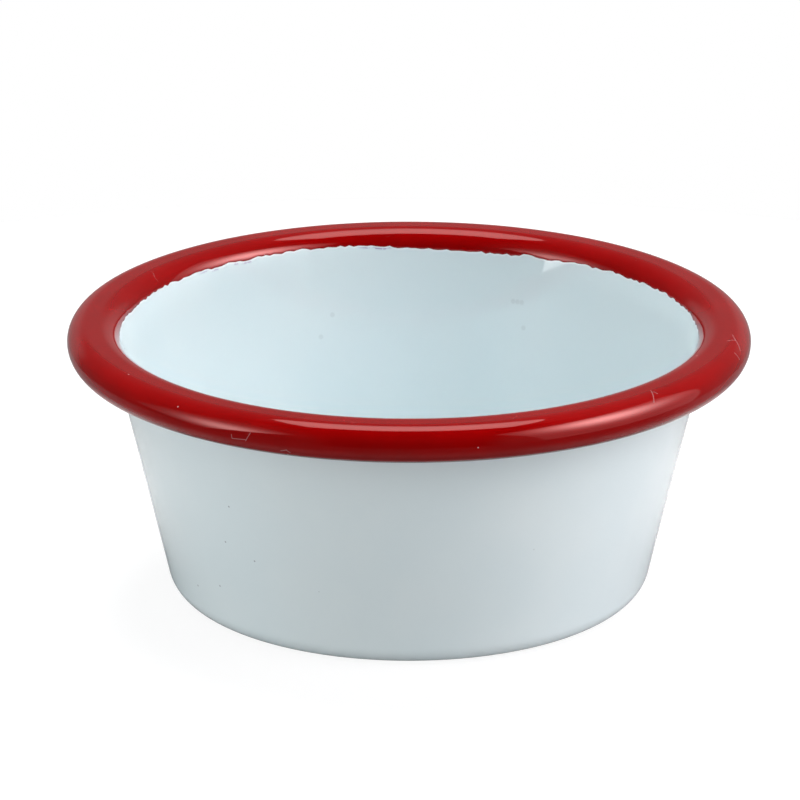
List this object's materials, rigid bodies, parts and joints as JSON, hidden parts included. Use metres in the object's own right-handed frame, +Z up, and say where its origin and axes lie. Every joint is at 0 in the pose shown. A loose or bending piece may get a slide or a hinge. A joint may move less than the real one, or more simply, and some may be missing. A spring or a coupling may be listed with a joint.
{
  "type": "enamel ramekin",
  "caption": "Small round dish in enamelled sheet steel: white leaning wall, flat base and a thick red rolled rim. Holds a single portion for baking or serving.",
  "frame": {"origin": "on the table, under the middle of the base", "axes": "+Z up along the dish's axis, X and Y level; the picture looks along +Y"},
  "size_m": [0.08, 0.08, 0.0328],
  "materials": {
    "steel": "bare pressed sheet, dark from firing at the end of the roll",
    "ground_enamel": "dark blue-black ground coat, glossy where it shows",
    "white_enamel": "glossy cool white enamel with a few dark specks",
    "red_enamel": "glossy deep red enamel"
  },
  "bodies": {
    "root": {"steel_shell": "steel", "ground_coat_inside": "ground_enamel", "ground_coat_outside": "ground_enamel", "white_enamel_inside": "white_enamel", "white_enamel_outside": "white_enamel", "red_rim_enamel": "red_enamel"}
  },
  "joints": []
}
